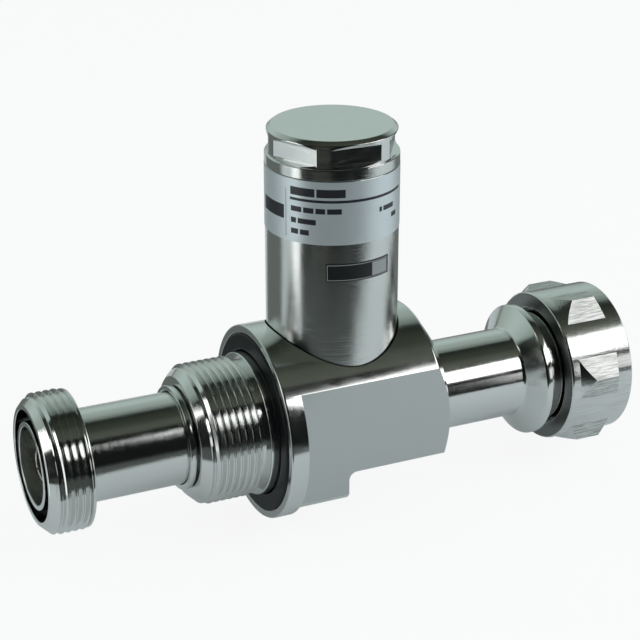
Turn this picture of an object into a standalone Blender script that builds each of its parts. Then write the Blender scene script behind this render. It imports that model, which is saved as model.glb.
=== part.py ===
"""Coaxial lightning arrestor: a quarter-wave stub standing on a bulkhead-mounted coaxial line.

Metres, +Z up. X runs along the line, from the socket (-X) to the coupling nut (+X). The origin is
the centre of the panel seat, on the line's axis. The stub tower stands up along +Z and the wide
spanner flat faces -Y.
"""
import math

import bmesh
import bpy

MM = 0.001

# Clearances
GAP = 0.3 * MM              # between faces that seat on each other
FIT = 0.15 * MM             # radial, between a round piece and the bore that holds it
STICK = 0.05 * MM           # between a stuck-on label and the metal under it

# Facets round a full turn
FINE_STEPS = 48
LINE_STEPS = 40
SMALL_STEPS = 20

# The coaxial line. Its bore drives the diameters of both ends, each by the wall or step between
LINE_BORE_DIA = 16.0 * MM
LINE_ROD_DIA = 7.0 * MM
CORE_BORE_DIA = 10.0 * MM
CORE_ROD_DIA = 4.4 * MM
STUD_DIA = 2.4 * MM
STUD_LENGTH = 4.2 * MM
HUB_DIA = 6.4 * MM
HUB_LENGTH = 8.0 * MM
HUB_FLAT_HEIGHT = 2.6 * MM
BEAD_LENGTH = 4.0 * MM

# Threaded bulkhead spigot
SPIGOT_DIA = 29.6 * MM
SPIGOT_LENGTH = 16.3 * MM
SPIGOT_LEAD = 2.3 * MM
RELIEF_DEPTH = 1.2 * MM
RELIEF_WIDTH = 1.3 * MM
LOCATING_STEP = 0.3 * MM
LOCATING_DIA = SPIGOT_DIA + 2 * LOCATING_STEP
LOCATING_LENGTH = 2.1 * MM
SEAL_SEAT_WIDTH = 3.9 * MM
SEAL_PROUD = 0.3 * MM
SEAL_ROUND = 0.7 * MM

# Body: a turned bar with milled flats, a foot lug and a notch
SEAT_RECESS_DIA = LOCATING_DIA + 2 * SEAL_SEAT_WIDTH
SEAT_RECESS_DEPTH = 2.0 * MM
SEAT_RING_WIDTH = 1.6 * MM
SEAT_EDGE_BREAK = 0.5 * MM
BODY_DIA = SEAT_RECESS_DIA + 2 * SEAT_RING_WIDTH
BODY_LENGTH = 38.1 * MM
BODY_CONE_DEPTH = 4.3 * MM
BODY_CONE_LENGTH = 2.9 * MM
BODY_END_DIA = BODY_DIA - 2 * BODY_CONE_DEPTH
FLATS_START = 3.8 * MM
FLATS_MARGIN = 2.75 * MM
LUG_LENGTH = 10.9 * MM
LUG_HEIGHT = 6.0 * MM
NOTCH_WALL = 1.2 * MM
NOTCH_FILLET = 1.75 * MM

# Socket end
SOCKET_REACH = 48.0 * MM
SOCKET_HEAD_LENGTH = 9.1 * MM
SOCKET_TUBE_WALL = 1.65 * MM
SOCKET_TUBE_DIA = LINE_BORE_DIA + 2 * SOCKET_TUBE_WALL
SOCKET_SEATING = 12.1 * MM
CONTACT_TUBE_WALL = 1.07 * MM
CONTACT_TUBE_DIA = LINE_BORE_DIA + 2 * CONTACT_TUBE_WALL
SOCKET_GROOVE_WIDTH = 2.38 * MM
SOCKET_GROOVE_DIA = CONTACT_TUBE_DIA + 2 * SOCKET_GROOVE_WIDTH
SOCKET_GROOVE_DEPTH = 7.2 * MM
SOCKET_HEAD_WALL = 3.05 * MM
SOCKET_THREAD_DIA = SOCKET_GROOVE_DIA + 2 * SOCKET_HEAD_WALL
SOCKET_LEAD = 2.15 * MM
CONTACT_RECESS = 1.8 * MM
CONTACT_BORE_DIA = 5.1 * MM
CONTACT_BORE_DEPTH = 7.5 * MM
CONTACT_SLOT_WIDTH = 0.5 * MM
SOCKET_BEAD_DEPTH = 9.2 * MM
CONTACT_TAIL = 2.3 * MM
EDGE_BREAK = 0.3 * MM

# Plug end
PLUG_SPIGOT_WALL = 1.3 * MM
PLUG_SPIGOT_DIA = CORE_BORE_DIA + 2 * PLUG_SPIGOT_WALL
PLUG_SPIGOT_LENGTH = 3.9 * MM
PLUG_TUBE_WALL = 1.75 * MM
PLUG_TUBE_DIA = LINE_BORE_DIA + 2 * PLUG_TUBE_WALL
PLUG_TUBE_LENGTH = 21.7 * MM
SLEEVE_STEP = 1.13 * MM
SLEEVE_BORE_DIA = LINE_BORE_DIA + 2 * SLEEVE_STEP
SLEEVE_WALL = 2.17 * MM
SLEEVE_DIA = SLEEVE_BORE_DIA + 2 * SLEEVE_WALL
SLEEVE_LENGTH = 8.0 * MM
SLEEVE_DEPTH = 6.9 * MM
SHOULDER_WIDTH = 1.1 * MM
SHOULDER_LENGTH = 1.3 * MM
NECK_DIA = SLEEVE_DIA + 2 * SHOULDER_WIDTH
NECK_LENGTH = 8.9 * MM
COLLAR_STEP = 2.05 * MM
COLLAR_DIA = NECK_DIA + 2 * COLLAR_STEP
COLLAR_CONE_LENGTH = 3.0 * MM
COLLAR_LAND = 1.4 * MM
RING_GROOVE_DEPTH = 1.2 * MM
RING_GROOVE_DIA = NECK_DIA - 2 * RING_GROOVE_DEPTH
RING_GROOVE_WIDTH = 1.6 * MM
PIN_DIA = 5.0 * MM
PIN_LENGTH = 6.9 * MM
PIN_RECESS = 1.3 * MM
PLUG_BEAD_RECESS = 1.7 * MM
PIN_TAIL = 2.8 * MM

# Lock rings round the two tubes
LOCK_RING_WALL = 1.15 * MM
LOCK_RING_DIA = PLUG_TUBE_DIA + 2 * LOCK_RING_WALL
LOCK_RING_LENGTH = 1.3 * MM

# Coupling nut: a round barrel with a hexagon round its rear half
RING_WALL = 2.7 * MM
RING_DIA = RING_GROOVE_DIA + 2 * RING_WALL
RING_OPENING = 3.0 * MM
RING_CLEARANCE = 0.7 * MM
NUT_THREAD_DIA = RING_DIA + 2 * RING_CLEARANCE
NUT_SIDE_WALL = 1.9 * MM
NUT_DIA = NUT_THREAD_DIA + 2 * NUT_SIDE_WALL
NUT_LENGTH = 15.2 * MM
NUT_REAR_WALL = 2.3 * MM
NUT_PLAY = 0.6 * MM
NUT_REAR_BREAK = 0.6 * MM
NUT_MOUTH_BREAK = 0.7 * MM
HEX_INSET = 0.5 * MM
NUT_ACROSS_FLATS = NUT_DIA - 2 * HEX_INSET
HEX_START = 2.1 * MM
HEX_LENGTH = 9.5 * MM
HEX_REAR_SLOPE = math.radians(35)
HEX_FRONT_SLOPE = math.radians(60)
NUT_TURN = math.radians(20.7)
GASKET_WALL = 1.9 * MM
GASKET_DIA = SLEEVE_DIA + 2 * GASKET_WALL
GASKET_LENGTH = 1.3 * MM

# Stub tower
STUB_PLACE = 18.2 * MM
STUB_BORE_DIA = 20.8 * MM
STUB_WALL = 3.3 * MM
STUB_DIA = STUB_BORE_DIA + 2 * STUB_WALL
STUB_SEAT_HEIGHT = 8.5 * MM
STUB_TOP = 55.0 * MM
SHORT_LEDGE = 0.9 * MM
STUB_HEAD_BORE_DIA = STUB_BORE_DIA + 2 * SHORT_LEDGE
STUB_HEAD_DEPTH = 7.8 * MM
IRIS_WALL = 0.3 * MM
IRIS_DIA = CORE_BORE_DIA - 2 * IRIS_WALL
STUB_ROD_DIA = 5.0 * MM
STUB_STUD_LENGTH = 3.4 * MM
SHORT_THICKNESS = 3.7 * MM
BASE_SEAL_THICKNESS = 1.0 * MM
SCREW_DIA = 3.0 * MM
SCREW_REACH = 6.0 * MM
SCREW_HEAD_DIA = 5.5 * MM
SCREW_HEAD_HEIGHT = 3.0 * MM
SCREW_KEY_WIDTH = 2.5 * MM

# Stub cap
CAP_OVERHANG = 0.05 * MM
CAP_DIA = STUB_DIA + 2 * CAP_OVERHANG
CAP_RING_HEIGHT = 2.1 * MM
CAP_RIM_STEP = 0.45 * MM
CAP_RIM_DIA = CAP_DIA - 2 * CAP_RIM_STEP
CAP_HEIGHT = 7.6 * MM
CAP_TOP_BREAK = 0.4 * MM
CAP_FLATS_DEPTH = 1.1 * MM
CAP_ACROSS_FLATS = CAP_RIM_DIA - 2 * CAP_FLATS_DEPTH
CAP_FLATS_HEIGHT = 3.8 * MM
CAP_TURN = math.radians(-2)
CAP_SKIRT_WALL = 2.8 * MM
CAP_HOLLOW_DIA = STUB_HEAD_BORE_DIA - 2 * CAP_SKIRT_WALL
CAP_ROOF = 5.6 * MM
CAP_GROOVE_DEPTH = 1.6 * MM
CAP_GROOVE_WIDTH = 1.6 * MM
CORD_DIA = 1.2 * MM

# Stuck-on labels
LABEL_THICKNESS = 0.1 * MM
LABEL_MARGIN = 0.1 * MM
LABEL_HEIGHT = 13.1 * MM
LABEL_BOTTOM = STUB_TOP - LABEL_MARGIN - LABEL_HEIGHT
LABEL_ANGLES = (105, 435)
PLATE_DROP = 4.0 * MM
PLATE_HEIGHT = 3.8 * MM
PLATE_BOTTOM = LABEL_BOTTOM - PLATE_DROP - PLATE_HEIGHT
PLATE_ANGLES = (-120, -60)

NICKEL_BRIGHT = ("nickel_bright", (0.74, 0.74, 0.72), 0.12, 1.0)
NICKEL_SATIN = ("nickel_satin", (0.64, 0.64, 0.62), 0.28, 1.0)
SILVER = ("silver_contact", (0.86, 0.84, 0.79), 0.18, 1.0)
SPRING_STEEL = ("spring_steel", (0.42, 0.42, 0.42), 0.30, 1.0)
INSULATOR = ("white_insulator", (0.90, 0.90, 0.88), 0.45, 0.0)
BLACK_RUBBER = ("black_rubber", (0.02, 0.02, 0.02), 0.55, 0.0)
LABEL_FILM = ("label_film", (0.78, 0.83, 0.85), 0.35, 0.0)
PLATE_FILM = ("plate_film", (0.04, 0.04, 0.05), 0.35, 0.0)


def start_scene():
    for obj in list(bpy.data.objects):
        bpy.data.objects.remove(obj, do_unlink=True)
    groups = []
    for name in ("Coax lightning arrestor", "Cutters"):
        group = bpy.data.collections.new(name)
        bpy.context.scene.collection.children.link(group)
        groups.append(group)
    return groups


PARTS, CUTTERS = start_scene()


def material(recipe):
    name, colour, roughness, metallic = recipe
    found = bpy.data.materials.get(name)
    if found:
        return found
    made = bpy.data.materials.new(name)
    made.use_nodes = True
    made.diffuse_color = (*colour, 1.0)
    shader = made.node_tree.nodes["Principled BSDF"]
    shader.inputs["Base Color"].default_value = (*colour, 1.0)
    shader.inputs["Roughness"].default_value = roughness
    shader.inputs["Metallic"].default_value = metallic
    return made


def axis_empty(name, location, rotation):
    """An empty whose local Z is the axis that its pieces are turned about."""
    empty = bpy.data.objects.new(name, None)
    empty.empty_display_size = 10 * MM
    empty.location = location
    empty.rotation_euler = rotation
    PARTS.objects.link(empty)
    return empty


LINE_AXIS = axis_empty("line_axis", (0, 0, 0), (0, math.radians(90), 0))
STUB_AXIS = axis_empty("stub_axis", (STUB_PLACE, 0, 0), (0, 0, 0))


def place(name, mesh, group, parent, turn=0.0):
    obj = bpy.data.objects.new(name, mesh)
    group.objects.link(obj)
    obj.parent = parent
    obj.rotation_euler.z = turn
    if group is CUTTERS:
        obj.hide_render = True
        obj.display_type = "WIRE"
    return obj


def turned(name, outline, steps, group, parent, turn=0.0, angles=(0, 360)):
    """A turned piece. The outline's points are (along the axis, radius): up the outside, and back
    down the bore unless both ends lie on the axis. Part of a turn stays an open strip."""
    full = angles[1] - angles[0] == 360
    mesh = bpy.data.meshes.new(name)
    form = bmesh.new()
    start = math.radians(angles[0])
    points = []
    for along, radius in reversed(outline):
        points.append(form.verts.new((radius * math.cos(start), radius * math.sin(start), along)))
    for first, second in zip(points, points[1:]):
        form.edges.new((first, second))
    if full and outline[0][1] > 0:
        form.edges.new((points[-1], points[0]))
    form.to_mesh(mesh)
    form.free()
    obj = place(name, mesh, group, parent, turn)
    screw = obj.modifiers.new("Turn", "SCREW")
    screw.axis = "Z"
    screw.angle = math.radians(angles[1] - angles[0])
    screw.steps = steps
    screw.render_steps = steps
    screw.use_merge_vertices = True
    screw.merge_threshold = 0.00001
    return obj


def block(name, low, high, parent=None, turn=0.0):
    """A box-shaped cutter between two corners."""
    mesh = bpy.data.meshes.new(name)
    form = bmesh.new()
    bmesh.ops.create_cube(form, size=1.0)
    for vert in form.verts:
        for i in range(3):
            vert.co[i] = (low[i] + high[i]) / 2 + vert.co[i] * (high[i] - low[i])
    form.to_mesh(mesh)
    form.free()
    return place(name, mesh, CUTTERS, parent, turn)


def prism(name, sides, across_flats, low, high, parent, turn=0.0):
    """A regular prism cutter along the parent's axis, with a corner toward local +X."""
    mesh = bpy.data.meshes.new(name)
    form = bmesh.new()
    corner = across_flats / 2 / math.cos(math.pi / sides)
    bmesh.ops.create_cone(form, cap_ends=True, segments=sides, radius1=corner, radius2=corner,
                          depth=high - low)
    first = min(form.verts, key=lambda v: abs(math.atan2(v.co.y, v.co.x)))
    offset = math.atan2(first.co.y, first.co.x)
    for vert in form.verts:
        angle = math.atan2(vert.co.y, vert.co.x) - offset
        vert.co.x = corner * math.cos(angle)
        vert.co.y = corner * math.sin(angle)
        vert.co.z += (low + high) / 2
    form.to_mesh(mesh)
    form.free()
    return place(name, mesh, CUTTERS, parent, turn)


def combine(obj, other, operation):
    step = obj.modifiers.new(other.name, "BOOLEAN")
    step.operation = operation
    step.object = other
    step.solver = "EXACT"


def cut(obj, *cutters):
    for cutter in cutters:
        combine(obj, cutter, "DIFFERENCE")


def finish(obj, recipe):
    obj.data.materials.append(material(recipe))
    return obj


def tube(name, outer, inner, low, high, steps, group, parent, edge=0.0):
    """A plain ring, with its two outer edges broken by the given amount."""
    outline = [(low, inner / 2), (low, outer / 2 - edge)]
    if edge:
        outline += [(low + edge, outer / 2), (high - edge, outer / 2)]
    outline += [(high, outer / 2 - edge), (high, inner / 2)]
    return turned(name, outline, steps, group, parent)


# The milled faces of the body, which clear the stub's pocket and the plug's spigot
FLATS_WIDTH = STUB_DIA + 2 * FLATS_MARGIN
NOTCH_DROP = PLUG_SPIGOT_DIA / 2 + NOTCH_WALL
LUG_DROP = NOTCH_DROP + LUG_HEIGHT

# Places along the line that several pieces share
SOCKET_FACE = -SOCKET_REACH
SOCKET_REAR = SOCKET_FACE + SOCKET_HEAD_LENGTH
SPIGOT_FACE = -SPIGOT_LENGTH
SOCKET_STOP = SPIGOT_FACE + SOCKET_SEATING
PLUG_STOP = BODY_LENGTH - PLUG_SPIGOT_LENGTH - GAP
PLUG_TUBE_START = BODY_LENGTH + GAP
COLLAR_START = PLUG_TUBE_START + PLUG_TUBE_LENGTH
COLLAR_LAND_START = COLLAR_START + COLLAR_CONE_LENGTH
NECK_START = COLLAR_LAND_START + COLLAR_LAND
SHOULDER_FACE = NECK_START + NECK_LENGTH
SLEEVE_FACE = SHOULDER_FACE + SLEEVE_LENGTH
MATING_PLANE = SLEEVE_FACE - SLEEVE_DEPTH
RING_GROOVE_END = SHOULDER_FACE - SHOULDER_LENGTH
RING_GROOVE_START = RING_GROOVE_END - RING_GROOVE_WIDTH
NUT_WALL_FRONT = RING_GROOVE_START - FIT
NUT_REAR = NUT_WALL_FRONT - NUT_REAR_WALL
NUT_FRONT = NUT_REAR + NUT_LENGTH
SOCKET_BEAD_START = SOCKET_FACE + SOCKET_BEAD_DEPTH
CONTACT_REAR = SOCKET_BEAD_START + BEAD_LENGTH + CONTACT_TAIL
PLUG_BEAD_END = MATING_PLANE - PLUG_BEAD_RECESS
PIN_REAR = PLUG_BEAD_END - BEAD_LENGTH - PIN_TAIL
PLUG_BORE_START = PLUG_TUBE_START + (PLUG_TUBE_DIA - LINE_BORE_DIA) / 2

# Heights up the stub that several pieces share
TUBE_FOOT = STUB_SEAT_HEIGHT + BASE_SEAL_THICKNESS + 2 * GAP
SHORT_SEAT = STUB_TOP - STUB_HEAD_DEPTH
SHORT_BOTTOM = SHORT_SEAT + GAP
SHORT_TOP = SHORT_BOTTOM + SHORT_THICKNESS
CAP_FOOT = SHORT_TOP + GAP
CAP_BASE = STUB_TOP + GAP
CAP_LEDGE = CAP_BASE + CAP_RING_HEIGHT
CAP_TOP = CAP_BASE + CAP_HEIGHT


def main_body():
    outline = [
        (SPIGOT_FACE, SPIGOT_DIA / 2 - SPIGOT_LEAD),
        (SPIGOT_FACE + SPIGOT_LEAD, SPIGOT_DIA / 2),
        (-LOCATING_LENGTH - RELIEF_WIDTH, SPIGOT_DIA / 2),
        (-LOCATING_LENGTH - RELIEF_WIDTH / 2, SPIGOT_DIA / 2 - RELIEF_DEPTH),
        (-LOCATING_LENGTH, SPIGOT_DIA / 2 - RELIEF_DEPTH),
        (-LOCATING_LENGTH, LOCATING_DIA / 2 - EDGE_BREAK),
        (-LOCATING_LENGTH + EDGE_BREAK, LOCATING_DIA / 2),
        (SEAT_RECESS_DEPTH, LOCATING_DIA / 2),
        (SEAT_RECESS_DEPTH, SEAT_RECESS_DIA / 2),
        (0, SEAT_RECESS_DIA / 2),
        (0, BODY_DIA / 2 - SEAT_EDGE_BREAK),
        (SEAT_EDGE_BREAK, BODY_DIA / 2),
        (BODY_LENGTH - BODY_CONE_LENGTH, BODY_DIA / 2),
        (BODY_LENGTH, BODY_END_DIA / 2),
        (BODY_LENGTH, PLUG_SPIGOT_DIA / 2 + FIT),
        (PLUG_STOP, PLUG_SPIGOT_DIA / 2 + FIT),
        (PLUG_STOP, CORE_BORE_DIA / 2),
        (SOCKET_STOP, CORE_BORE_DIA / 2),
        (SOCKET_STOP, SOCKET_TUBE_DIA / 2 + FIT),
        (SPIGOT_FACE, SOCKET_TUBE_DIA / 2 + FIT),
    ]
    body = turned("main_body", outline, FINE_STEPS, PARTS, LINE_AXIS)
    clear = BODY_DIA
    past_end = BODY_LENGTH + clear
    for side, name in ((-1, "front_flat_cutter"), (1, "rear_flat_cutter")):
        near, far = sorted((side * FLATS_WIDTH / 2, side * clear))
        cut(body, block(name, (FLATS_START, near, -clear), (past_end, far, clear)))
    cut(body, block("lug_cutter", (FLATS_START, -clear, -clear), (past_end, clear, -LUG_DROP)))
    cut(body, notch_cutter(clear, past_end))
    pocket = [(0, 0), (0, IRIS_DIA / 2), (STUB_SEAT_HEIGHT, IRIS_DIA / 2),
              (STUB_SEAT_HEIGHT, STUB_DIA / 2 + GAP), (clear, STUB_DIA / 2 + GAP), (clear, 0)]
    cut(body, turned("stub_pocket_cutter", pocket, FINE_STEPS, CUTTERS, STUB_AXIS))
    return finish(body, NICKEL_SATIN)


def notch_cutter(clear, past_end):
    """The notch behind the foot lug, with a fillet left by the milling cutter in its corner."""
    start = FLATS_START + LUG_LENGTH
    cutter = block("notch_cutter", (start, -clear, -clear), (past_end, clear, -NOTCH_DROP))
    form = bmesh.new()
    form.from_mesh(cutter.data)
    corner = []
    for edge in form.edges:
        middle = (edge.verts[0].co + edge.verts[1].co) / 2
        if abs(middle.x - start) < GAP and abs(middle.z + NOTCH_DROP) < GAP:
            corner.append(edge)
    bmesh.ops.bevel(form, geom=corner, offset=NOTCH_FILLET, segments=5, profile=0.5,
                    affect="EDGES")
    form.to_mesh(cutter.data)
    form.free()
    return cutter


def socket_shell():
    head = SOCKET_THREAD_DIA / 2
    outline = [
        (SOCKET_FACE, head - SOCKET_LEAD),
        (SOCKET_FACE + SOCKET_LEAD, head),
        (SOCKET_REAR - EDGE_BREAK, head),
        (SOCKET_REAR, head - EDGE_BREAK),
        (SOCKET_REAR, SOCKET_TUBE_DIA / 2),
        (SOCKET_STOP - GAP, SOCKET_TUBE_DIA / 2),
        (SOCKET_STOP - GAP, LINE_BORE_DIA / 2),
        (SOCKET_FACE, LINE_BORE_DIA / 2),
        (SOCKET_FACE, CONTACT_TUBE_DIA / 2),
        (SOCKET_FACE + SOCKET_GROOVE_DEPTH, CONTACT_TUBE_DIA / 2),
        (SOCKET_FACE + SOCKET_GROOVE_DEPTH, SOCKET_GROOVE_DIA / 2),
        (SOCKET_FACE, SOCKET_GROOVE_DIA / 2),
    ]
    return finish(turned("socket_shell", outline, LINE_STEPS, PARTS, LINE_AXIS), NICKEL_BRIGHT)


def socket_contact():
    """The slotted spring contact that takes a mating pin of 5 mm."""
    tip = SOCKET_FACE + CONTACT_RECESS
    radius = LINE_ROD_DIA / 2
    bore = CONTACT_BORE_DIA / 2
    outline = [
        (tip + CONTACT_BORE_DEPTH, 0),
        (tip + CONTACT_BORE_DEPTH, bore),
        (tip, bore),
        (tip, radius - EDGE_BREAK),
        (tip + EDGE_BREAK, radius),
        (CONTACT_REAR, radius),
        (CONTACT_REAR, STUD_DIA / 2 + FIT),
        (CONTACT_REAR - STUD_LENGTH - GAP, STUD_DIA / 2 + FIT),
        (CONTACT_REAR - STUD_LENGTH - GAP, 0),
    ]
    contact = turned("socket_centre_contact", outline, SMALL_STEPS, PARTS, LINE_AXIS)
    half = CONTACT_SLOT_WIDTH / 2
    end = tip + CONTACT_BORE_DEPTH - bore / 2
    for i in range(2):
        low = (-LINE_ROD_DIA, -half, tip - LINE_ROD_DIA)
        high = (LINE_ROD_DIA, half, end)
        turn = math.radians(45 + 90 * i)
        cut(contact, block("contact_slot_cutter_%d" % (i + 1), low, high, LINE_AXIS, turn))
    return finish(contact, SILVER)


def line_conductor():
    """One turned rod through the whole line, with a flat and a cross hole for the stub's rod."""
    start = CONTACT_REAR + GAP
    end = PIN_REAR - GAP
    thick = LINE_ROD_DIA / 2
    thin = CORE_ROD_DIA / 2
    stud = STUD_DIA / 2
    hub_low = STUB_PLACE - HUB_LENGTH / 2
    hub_high = STUB_PLACE + HUB_LENGTH / 2
    outline = [
        (start - GAP - STUD_LENGTH, 0), (start - GAP - STUD_LENGTH, stud), (start, stud),
        (start, thick), (SOCKET_STOP, thick), (SOCKET_STOP, thin),
        (hub_low, thin), (hub_low, HUB_DIA / 2), (hub_high, HUB_DIA / 2), (hub_high, thin),
        (PLUG_BORE_START, thin), (PLUG_BORE_START, thick), (end, thick),
        (end, stud), (end + GAP + STUD_LENGTH, stud), (end + GAP + STUD_LENGTH, 0),
    ]
    conductor = turned("line_conductor", outline, SMALL_STEPS, PARTS, LINE_AXIS)
    reach = HUB_DIA
    low = (hub_low - reach / 4, -reach, HUB_FLAT_HEIGHT)
    high = (hub_high + reach / 4, reach, reach)
    cut(conductor, block("hub_flat_cutter", low, high))
    depth = STUB_STUD_LENGTH + GAP
    hole = [(HUB_FLAT_HEIGHT - depth, 0), (HUB_FLAT_HEIGHT - depth, stud + FIT),
            (reach, stud + FIT), (reach, 0)]
    cut(conductor, turned("cross_hole_cutter", hole, SMALL_STEPS, CUTTERS, STUB_AXIS))
    return finish(conductor, SILVER)


def plug_pin():
    radius = PIN_DIA / 2
    base_end = MATING_PLANE - PIN_RECESS
    tip = base_end + PIN_LENGTH
    nose = []
    nose_steps = 3
    for i in range(nose_steps + 1):
        angle = math.pi / 2 * i / nose_steps
        nose.append((tip - radius / 2 * (1 - math.sin(angle)), radius / 2 * (1 + math.cos(angle))))
    outline = [
        (PIN_REAR + STUD_LENGTH + GAP, 0),
        (PIN_REAR + STUD_LENGTH + GAP, STUD_DIA / 2 + FIT),
        (PIN_REAR, STUD_DIA / 2 + FIT),
        (PIN_REAR, LINE_ROD_DIA / 2),
        (base_end - EDGE_BREAK, LINE_ROD_DIA / 2),
        (base_end, LINE_ROD_DIA / 2 - EDGE_BREAK),
        (base_end, radius),
        *nose,
        (tip, 0),
    ]
    return finish(turned("plug_centre_pin", outline, SMALL_STEPS, PARTS, LINE_AXIS), SILVER)


def insulators():
    outer = LINE_BORE_DIA - 2 * FIT
    inner = LINE_ROD_DIA + 2 * FIT
    for name, start in (("socket_insulator", SOCKET_BEAD_START),
                        ("plug_insulator", PLUG_BEAD_END - BEAD_LENGTH)):
        bead = tube(name, outer, inner, start, start + BEAD_LENGTH, LINE_STEPS, PARTS, LINE_AXIS)
        finish(bead, INSULATOR)


def plug_shell():
    outline = [
        (PLUG_STOP + GAP, PLUG_SPIGOT_DIA / 2),
        (PLUG_TUBE_START, PLUG_SPIGOT_DIA / 2),
        (PLUG_TUBE_START, PLUG_TUBE_DIA / 2),
        (COLLAR_START, PLUG_TUBE_DIA / 2),
        (COLLAR_LAND_START, COLLAR_DIA / 2),
        (NECK_START, COLLAR_DIA / 2),
        (NECK_START, NECK_DIA / 2),
        (RING_GROOVE_START, NECK_DIA / 2),
        (RING_GROOVE_START, RING_GROOVE_DIA / 2),
        (RING_GROOVE_END, RING_GROOVE_DIA / 2),
        (RING_GROOVE_END, NECK_DIA / 2),
        (SHOULDER_FACE, NECK_DIA / 2),
        (SHOULDER_FACE, SLEEVE_DIA / 2),
        (SLEEVE_FACE - EDGE_BREAK, SLEEVE_DIA / 2),
        (SLEEVE_FACE, SLEEVE_DIA / 2 - EDGE_BREAK),
        (SLEEVE_FACE, SLEEVE_BORE_DIA / 2),
        (MATING_PLANE, SLEEVE_BORE_DIA / 2),
        (MATING_PLANE, LINE_BORE_DIA / 2),
        (PLUG_BORE_START, LINE_BORE_DIA / 2),
        (PLUG_BORE_START, CORE_BORE_DIA / 2),
        (PLUG_STOP + GAP, CORE_BORE_DIA / 2),
    ]
    return finish(turned("plug_shell", outline, LINE_STEPS, PARTS, LINE_AXIS), NICKEL_BRIGHT)


def coupling_nut():
    """A barrel whose hexagon shows as flat corners round it, where the flats leave the round."""
    hole = NECK_DIA / 2 + NUT_PLAY
    thread = NUT_THREAD_DIA / 2
    barrel = NUT_DIA / 2
    outline = [
        (NUT_REAR, barrel - NUT_REAR_BREAK),
        (NUT_REAR + NUT_REAR_BREAK, barrel),
        (NUT_FRONT - EDGE_BREAK, barrel),
        (NUT_FRONT, barrel - EDGE_BREAK),
        (NUT_FRONT, thread + NUT_MOUTH_BREAK),
        (NUT_FRONT - NUT_MOUTH_BREAK, thread),
        (NUT_WALL_FRONT, thread),
        (NUT_WALL_FRONT, hole),
        (NUT_REAR + NUT_REAR_BREAK, hole),
        (NUT_REAR, hole + NUT_REAR_BREAK),
    ]
    nut = turned("coupling_nut", outline, FINE_STEPS, PARTS, LINE_AXIS, NUT_TURN)
    past_corner = NUT_ACROSS_FLATS / 2 / math.cos(math.radians(30)) + GAP
    inside = (barrel + thread) / 2
    start = NUT_REAR + HEX_START
    end = start + HEX_LENGTH
    rear_run = 1 / math.tan(HEX_REAR_SLOPE)
    front_run = 1 / math.tan(HEX_FRONT_SLOPE)
    ring = [
        (start - (barrel - inside) * rear_run, inside),
        (start + (past_corner - barrel) * rear_run, past_corner),
        (end - (past_corner - barrel) * front_run, past_corner),
        (end + (barrel - inside) * front_run, inside),
    ]
    hexagon = turned("hexagon_ring", ring, FINE_STEPS, CUTTERS, LINE_AXIS, NUT_TURN)
    flats = prism("hexagon_flats", 6, NUT_ACROSS_FLATS, NUT_REAR - NUT_DIA, NUT_FRONT + NUT_DIA,
                  LINE_AXIS, NUT_TURN)
    combine(hexagon, flats, "INTERSECT")
    combine(nut, hexagon, "UNION")
    return finish(nut, NICKEL_BRIGHT)


def nut_retaining_ring():
    """The split ring that snaps into the plug's groove in front of the nut's rear wall."""
    low = RING_GROOVE_START + FIT
    high = RING_GROOVE_END - FIT
    inner = RING_GROOVE_DIA + 2 * FIT
    ring = tube("nut_retaining_ring", RING_DIA, inner, low, high, LINE_STEPS, PARTS, LINE_AXIS)
    half = RING_OPENING / 2
    opening = block("ring_opening_cutter", (0, -half, low - RING_OPENING),
                    (RING_DIA, half, high + RING_OPENING), LINE_AXIS)
    cut(ring, opening)
    return finish(ring, SPRING_STEEL)


def lock_rings():
    sizes = (("socket_lock_ring", SOCKET_TUBE_DIA, SPIGOT_FACE - GAP - LOCK_RING_LENGTH),
             ("plug_lock_ring", PLUG_TUBE_DIA, BODY_LENGTH + GAP))
    for name, tube_dia, start in sizes:
        ring = tube(name, LOCK_RING_DIA, tube_dia + 2 * FIT, start, start + LOCK_RING_LENGTH,
                    LINE_STEPS, PARTS, LINE_AXIS, EDGE_BREAK)
        finish(ring, NICKEL_BRIGHT)


def seals():
    inner = LOCATING_DIA / 2 + FIT
    outer = SEAT_RECESS_DIA / 2 - FIT
    crown = SEAL_PROUD + SEAL_ROUND
    outline = [
        (-SEAL_PROUD, inner + SEAL_ROUND), (-SEAL_PROUD, outer - SEAL_ROUND),
        (crown - SEAL_PROUD, outer), (SEAT_RECESS_DEPTH - GAP, outer),
        (SEAT_RECESS_DEPTH - GAP, inner), (crown - SEAL_PROUD, inner),
    ]
    finish(turned("panel_seal", outline, FINE_STEPS, PARTS, LINE_AXIS), BLACK_RUBBER)

    low = SHOULDER_FACE + GAP
    gasket = tube("plug_gasket", GASKET_DIA, SLEEVE_DIA + 2 * FIT, low, low + GASKET_LENGTH,
                  LINE_STEPS, PARTS, LINE_AXIS, EDGE_BREAK)
    finish(gasket, BLACK_RUBBER)

    low = STUB_SEAT_HEIGHT + GAP
    base = tube("stub_base_seal", STUB_DIA - 2 * FIT, STUB_BORE_DIA, low,
                low + BASE_SEAL_THICKNESS, LINE_STEPS, PARTS, STUB_AXIS)
    finish(base, BLACK_RUBBER)

    cord_radius = CORD_DIA / 2
    middle = STUB_HEAD_BORE_DIA / 2 - FIT - cord_radius
    height = CAP_BASE - CAP_GROOVE_WIDTH / 2 - GAP
    cord_sides = 8
    cord = []
    for i in range(cord_sides):
        angle = 2 * math.pi * i / cord_sides
        cord.append((height - cord_radius * math.cos(angle), middle + cord_radius * math.sin(angle)))
    finish(turned("cap_seal", cord, SMALL_STEPS, PARTS, STUB_AXIS), BLACK_RUBBER)


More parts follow.
